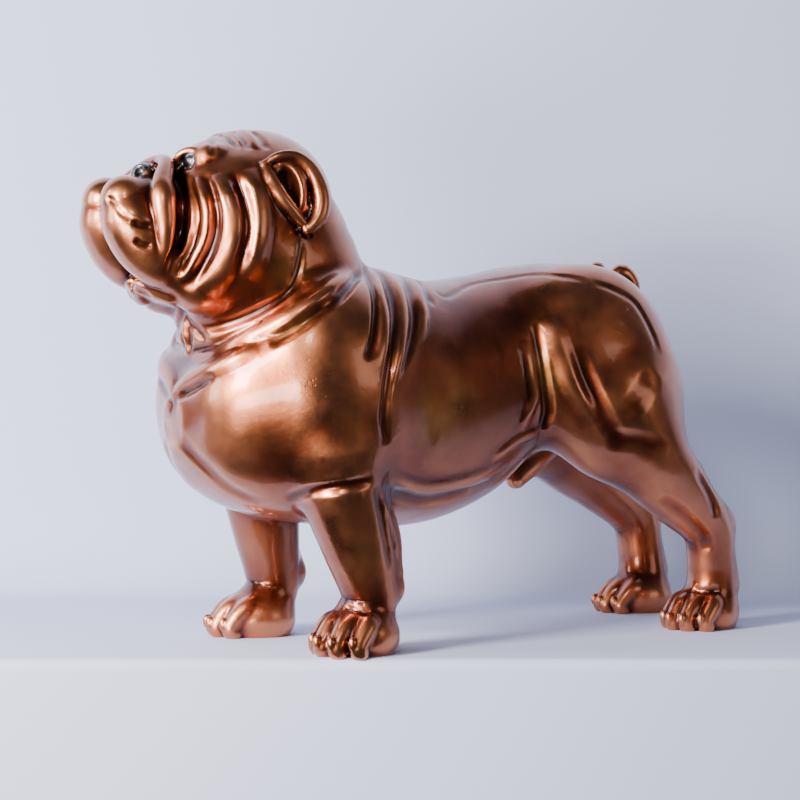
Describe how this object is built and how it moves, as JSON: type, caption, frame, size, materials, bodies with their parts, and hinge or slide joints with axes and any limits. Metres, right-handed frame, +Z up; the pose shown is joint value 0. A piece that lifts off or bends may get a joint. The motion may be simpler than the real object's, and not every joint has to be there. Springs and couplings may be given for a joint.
{
  "type": "bulldog garden statue",
  "caption": "Life-size bulldog statue in patinated bronze, standing square on its paws with its head raised, wrinkled face and folded ears.",
  "frame": {"origin": "middle of the bounding box, on the ground under the paws", "axes": "+Z up, the dog faces -X, its left side is towards -Y"},
  "size_m": [0.767, 0.3066, 0.5339],
  "materials": {
    "patinated_bronze": "polished red-brown patina under a gloss wax or lacquer"
  },
  "bodies": {
    "root": {"bulldog": "patinated_bronze"}
  },
  "joints": []
}
